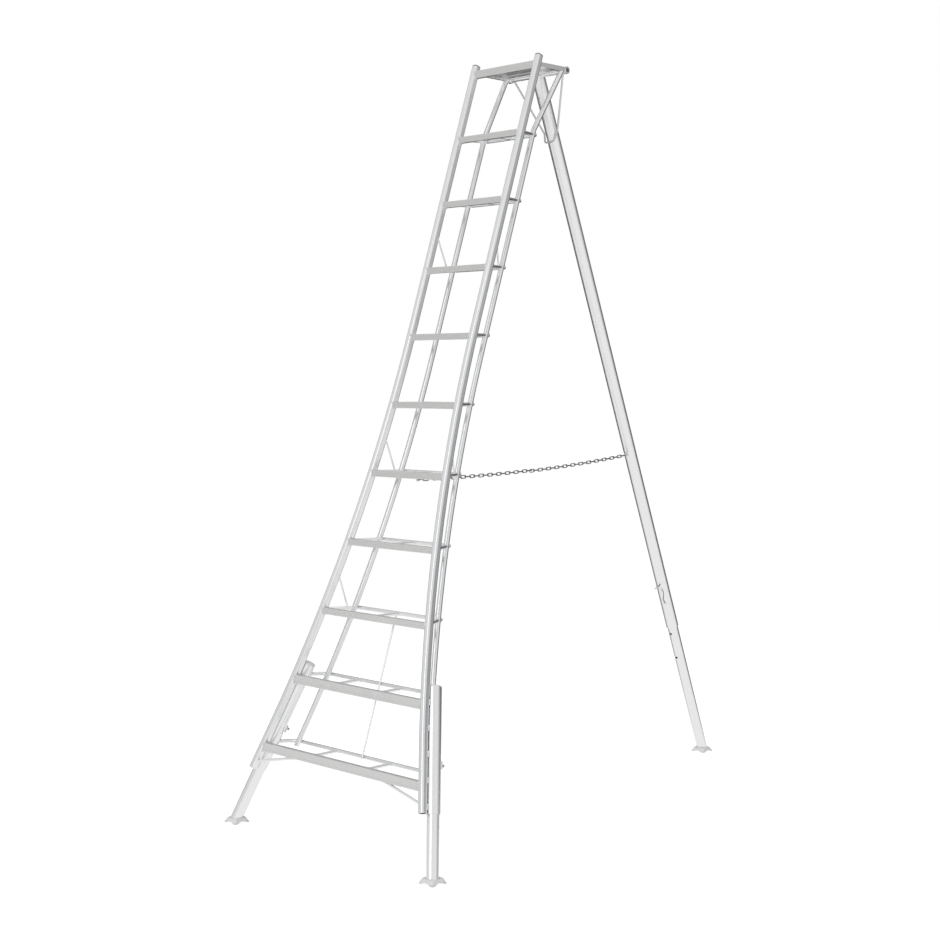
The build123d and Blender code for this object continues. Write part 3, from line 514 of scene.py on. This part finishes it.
def make_piece(name, shape, body, material):
    """Turn a bmesh into a smooth-shaded piece that rides on a body."""
    bmesh.ops.recalc_face_normals(shape, faces=shape.faces)
    mesh = bpy.data.meshes.new(name)
    shape.to_mesh(mesh)
    shape.free()
    for face in mesh.polygons:
        face.use_smooth = True
    mesh.materials.append(materials[material])
    piece = bpy.data.objects.new(name, mesh)
    bpy.context.scene.collection.objects.link(piece)
    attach(piece, body)
    return piece


def box_size(node):
    """The upper corner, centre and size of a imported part's bounding box."""
    low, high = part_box(node)
    return high, (low + high) / 2, high - low


def weld_rails():
    """A bead all round both ends of every front rail."""
    shape = bmesh.new()
    stiles = surface_of("left_stile", "right_stile")
    for node in [f"step_rail_{step}" for step in STEPS] + ["platform_front_rail"]:
        _, centre, size = box_size(node)
        for side in SIDES:
            start = Vector((side * (size.x / 2 - RAY_START), centre.y, centre.z))
            outline = box_outline(start, size.y, size.z)
            lay_bead(shape, meeting_path(outline, side * ACROSS, stiles), RAIL_BEAD)
    make_piece("rail_end_welds", shape, "frame", "weld")


def weld_tube_end(shape, middle, direction, radius, target, bead):
    """A bead where a round tube, whose axis runs through the middle, meets a surface."""
    outline = round_outline(middle, direction, radius)
    lay_bead(shape, meeting_path(outline, direction, target), bead)


def separate_pieces(node):
    """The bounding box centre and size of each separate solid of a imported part."""
    shape = bmesh.new()
    shape.from_mesh(frame["nodes"][node].data)
    bmesh.ops.remove_doubles(shape, verts=shape.verts, dist=1e-6)
    waiting = set(shape.verts)
    while waiting:
        group, edge = [], [waiting.pop()]
        while edge:
            vertex = edge.pop()
            group.append(vertex.co.copy())
            for link in vertex.link_edges:
                other = link.other_vert(vertex)
                if other in waiting:
                    waiting.remove(other)
                    edge.append(other)
        low = Vector(min(point[axis] for point in group) for axis in range(3))
        high = Vector(max(point[axis] for point in group) for axis in range(3))
        yield (low + high) / 2, high - low
    shape.free()


def weld_bent_straps():
    """Beads where the bent straps of the two lowest steps meet the sleeves."""
    shape = bmesh.new()
    sleeves = surface_of("left_leg_sleeve", "right_leg_sleeve")
    for step in BENT_STRAP_STEPS:
        high, centre, size = box_size(f"step_strap_{step}")
        for side in SIDES:
            start = Vector((side * (size.x / 2 - STRAP_RADIUS), high.y - STRAP_RUN, centre.z))
            weld_tube_end(shape, start, Vector((0, -1, 0)), STRAP_RADIUS, sleeves, TUBE_BEAD)
    make_piece("strap_end_welds", shape, "frame", "weld")


def weld_links():
    """Beads at both ends of the links between the stiles and the rear tubes."""
    shape = bmesh.new()
    stiles = surface_of("left_stile", "right_stile")
    tubes = surface_of("left_rear_tube", "right_rear_tube")
    for step in STEPS:
        if step in BENT_STRAP_STEPS:
            continue
        centre = box_size(f"step_strap_{step}")[1]
        rail_centre = box_size(f"step_rail_{step}")[1]
        at_tubes = Vector((0, rail_centre.y + REAR_TUBE_SETBACK, centre.z))
        for side in SIDES:
            stile_side = stiles.ray_cast(Vector((0, rail_centre.y, centre.z)), side * ACROSS)[0]
            tube_side = tubes.ray_cast(at_tubes, side * ACROSS)[0]
            stile_end = stile_side + side * ACROSS * LINK_DEPTH
            rear_end = tube_side + side * ACROSS * REAR_TUBE_RADIUS
            middle = (stile_end + rear_end) / 2
            along = (rear_end - stile_end).normalized()
            weld_tube_end(shape, middle, along, STRAP_RADIUS, tubes, TUBE_BEAD)
            weld_tube_end(shape, middle, -along, STRAP_RADIUS, stiles, LINK_BEAD)
    make_piece("link_end_welds", shape, "frame", "weld")


def weld_ribs():
    """Beads at both ends of every rib."""
    shape = bmesh.new()
    rails = surface_of(*[f"step_rail_{step}" for step in STEPS])
    straps = surface_of(*[f"step_strap_{step}" for step in STEPS])
    for centre, size in separate_pieces("step_ribs"):
        weld_tube_end(shape, centre, Vector((0, 1, 0)), size.x / 2, straps, RIB_BEAD)
        weld_tube_end(shape, centre, Vector((0, -1, 0)), size.x / 2, rails, RIB_BEAD)
    make_piece("rib_end_welds", shape, "frame", "weld")


def weld_rear_tubes():
    """A bead round the spot where each strap touches each rear tube."""
    shape = bmesh.new()
    tubes = surface_of("left_rear_tube", "right_rear_tube")
    for step in STEPS:
        high, centre, _ = box_size(f"step_strap_{step}")
        rear_run = Vector((0, high.y - STRAP_RADIUS, centre.z))
        axis_plane = rear_run - SLOPE_NORMAL * (STRAP_RADIUS + REAR_TUBE_RADIUS)
        for side in SIDES:
            hit = tubes.ray_cast(axis_plane, side * ACROSS)[0]
            if hit is None:
                continue
            spot = rear_run - SLOPE_NORMAL * STRAP_RADIUS
            spot.x = hit.x + side * REAR_TUBE_RADIUS
            lay_bead(shape, round_outline(spot, SLOPE_NORMAL, TOUCH_RADIUS), REAR_TUBE_BEAD)
    make_piece("rear_tube_welds", shape, "frame", "weld")


def weld_feet():
    """A bead round each leg tube where it stands in its foot."""
    legs = (
        ("right_leg", "right_foot", SLEEVE_AXIS[1]),
        ("left_leg", "left_foot", SLEEVE_AXIS[-1]),
        ("back_leg_extension", "back_foot", ALONG_BACK_LEG),
    )
    for body, foot, axis in legs:
        shape = bmesh.new()
        high, centre, _ = box_size(foot)
        start = Vector((centre.x, centre.y, high.z)) - axis * FOOT_RAY_START
        weld_tube_end(shape, start, axis, LEG_RADIUS, surface_of(foot), FOOT_BEAD)
        make_piece(f"{foot}_weld", shape, body, "weld")


def weld_sleeves():
    """Rippled stitch welds in the notch between each stile and its sleeve."""
    shape = bmesh.new()
    for centre, size in separate_pieces("sleeve_welds"):
        side = 1 if centre.x > 0 else -1
        along = SLEEVE_AXIS[side]
        half = size.z / 2 / abs(along.z)
        path = [centre - along * half, centre, centre + along * half]
        lay_bead(shape, path, STITCH_RADIUS, closed=False)
    piece = make_piece("sleeve_stitch_welds", shape, "frame", "weld")
    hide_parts("sleeve_welds")


weld_rails()
weld_bent_straps()
weld_links()
weld_ribs()
weld_rear_tubes()
weld_feet()
weld_sleeves()


# ---- small fittings ----

AXLE_PLUG_SINK = 0.0040     # how far the plugs' rims sit inside the axle's ends
AXLE_PLUG_RISE = 0.0044     # from a plug's rim to the tip of its dome
# a plug's dome: distance out from the rim, and radius as a share of the axle's
AXLE_PLUG_PROFILE = [(0.0, 0.96), (0.0012, 1.0), (0.0026, 0.97), (0.0036, 0.85), (0.0042, 0.55)]


def plug_axle():
    """Domed plugs pressed into the open ends of the hinge axle."""
    shape = bmesh.new()
    high, centre, size = box_size("hinge_axle")
    radius = size.z / 2
    rim = high.x - AXLE_PLUG_SINK
    for side in SIDES:
        rings = []
        for out, share in AXLE_PLUG_PROFILE:
            middle = Vector((side * (rim + out), centre.y, centre.z))
            ring = round_outline(middle, side * ACROSS, radius * share)
            rings.append([shape.verts.new(point) for point in ring])
        tip = shape.verts.new((side * (rim + AXLE_PLUG_RISE), centre.y, centre.z))
        bridge_rings(shape, rings)
        for n in range(OUTLINE_POINTS):
            shape.faces.new((rings[-1][n], rings[-1][(n + 1) % OUTLINE_POINTS], tip))
        shape.faces.new(list(reversed(rings[0])))
    make_piece("axle_plugs", shape, "back_leg", "cap")


plug_axle()


# ---- studio ----

def build_floor():
    """A pale floor disc with a faint mottle, so that it isn't a flat colour."""
    mesh = bpy.data.meshes.new("floor")
    shape = bmesh.new()
    bmesh.ops.create_circle(shape, cap_ends=True, radius=FLOOR_RADIUS, segments=96)
    shape.to_mesh(mesh)
    shape.free()
    floor = bpy.data.objects.new("floor", mesh)
    bpy.context.scene.collection.objects.link(floor)
    material, tree, shader = new_material("floor_paper")
    place = add_node(tree, "ShaderNodeTexCoord").outputs["Object"]
    mottle = noise(tree, place, 3)
    tone = ramp(tree, mottle, [(0.3, 0.93), (0.7, 0.96)])
    finish_material(tree, shader, tone, ramp(tree, mottle, [(0.3, 0.7), (0.7, 0.8)]), mottle, 0.0005)
    # the camera sees the paper lit up to white, wholly so further away, where no shadow falls
    light_path = add_node(tree, "ShaderNodeLightPath")
    seen, mirrored = light_path.outputs["Is Camera Ray"], light_path.outputs["Is Glossy Ray"]
    distance = add_node(
        tree, "ShaderNodeVectorMath", {0: place}, operation="LENGTH"
    ).outputs["Value"]
    far = ramp(
        tree, maths(tree, "MULTIPLY", distance, 1 / FLOOR_RAMP_SPAN), [(0.22, 0.0), (0.6, 1.0)]
    )
    far = maths(tree, "MULTIPLY", far, seen)
    unlit = maths(tree, "MAXIMUM", far, mirrored)
    tree.links.new(mix(tree, unlit, tone, (0.0, 0.0, 0.0)), shader.inputs["Base Color"])
    glow = maths(tree, "MULTIPLY", far, 1 - FLOOR_GLOW)
    glow = maths(tree, "MULTIPLY", maths(tree, "ADD", glow, FLOOR_GLOW), seen)
    heading = math.radians(CAMERA_HEADING)
    nearer = add_node(
        tree, "ShaderNodeVectorMath", {0: place, 1: (math.sin(heading), -math.cos(heading), 0)},
        operation="DOT_PRODUCT",
    ).outputs["Value"]
    nearer = maths(tree, "ADD", maths(tree, "MULTIPLY", nearer, 1 / FLOOR_RAMP_SPAN), 0.5)
    reflection = maths(tree, "MULTIPLY", ramp(tree, nearer, MIRRORED_PAPER), mirrored)
    tree.links.new(maths(tree, "ADD", glow, reflection), shader.inputs["Emission Strength"])
    shader.inputs["Emission Color"].default_value = (1, 1, 1, 1)
    shader.inputs["Specular IOR Level"].default_value = 0
    floor.data.materials.append(material)


def build_world():
    """White to the camera; to the metal, a tent that is bright behind the camera and grey beyond."""
    world = bpy.data.worlds.new("studio")
    bpy.context.scene.world = world
    world.use_nodes = True
    tree = world.node_tree
    direction = add_node(tree, "ShaderNodeTexCoord").outputs["Generated"]
    heading = math.radians(CAMERA_HEADING)
    to_camera = (math.sin(heading), -math.cos(heading), 0)
    to_right = (math.cos(heading), math.sin(heading), 0)
    facing, right = [
        add_node(
            tree, "ShaderNodeVectorMath", {0: direction, 1: way}, operation="DOT_PRODUCT"
        ).outputs["Value"]
        for way in (to_camera, to_right)
    ]
    turn = maths(tree, "ARCTAN2", right, facing)
    turn = maths(tree, "ADD", maths(tree, "MULTIPLY", turn, 0.5 / math.pi), 0.5)
    around = ramp(tree, turn, TENT_AROUND)
    height = add_node(tree, "ShaderNodeSeparateXYZ", {"Vector": direction}).outputs["Z"]
    low = ramp(tree, height, [(0.17, 1.0), (0.3, 0.0)])
    left = ramp(tree, turn, [(0.14, 0.0), (0.2, 1.0), (0.33, 1.0), (0.4, 0.0)])
    around = mix(tree, mix(tree, 1.0, low, left, "MULTIPLY"), around, (LOW_LEFT_GREY,) * 3)
    overhead = ramp(tree, height, [(0.35, 0.0), (0.75, 1.0)])
    tent = mix(tree, overhead, around, TENT_TOP)
    seen = add_node(tree, "ShaderNodeLightPath").outputs["Is Camera Ray"]
    colour = mix(tree, seen, tent, STUDIO_WHITE)
    tree.links.new(colour, tree.nodes["Background"].inputs["Color"])


def build_softbox(name, place, target, size, power):
    light = bpy.data.lights.new(name, "AREA")
    light.shape = "RECTANGLE"
    light.size, light.size_y = size
    light.energy = power
    lamp = bpy.data.objects.new(name, light)
    lamp.location = place
    lamp.rotation_mode = "QUATERNION"
    lamp.rotation_quaternion = (Vector(target) - Vector(place)).to_track_quat("-Z", "Y")
    bpy.context.scene.collection.objects.link(lamp)


def build_camera():
    data = bpy.data.cameras.new("camera")
    data.lens = CAMERA_LENS
    data.sensor_width = CAMERA_SENSOR
    data.clip_end = 200
    camera = bpy.data.objects.new("camera", data)
    camera.location = CAMERA_PLACE
    camera.rotation_euler = (math.radians(90 + CAMERA_TILT), 0, math.radians(CAMERA_HEADING))
    bpy.context.scene.collection.objects.link(camera)
    bpy.context.scene.camera = camera


build_floor()
build_world()
build_softbox("key_softbox", KEY_PLACE, (0, 0, 1.6), KEY_SIZE, KEY_POWER)
build_softbox("top_softbox", TOP_PLACE, (0, 0, 0), TOP_SIZE, TOP_POWER)
build_camera()
bpy.context.scene.view_settings.view_transform = "Standard"
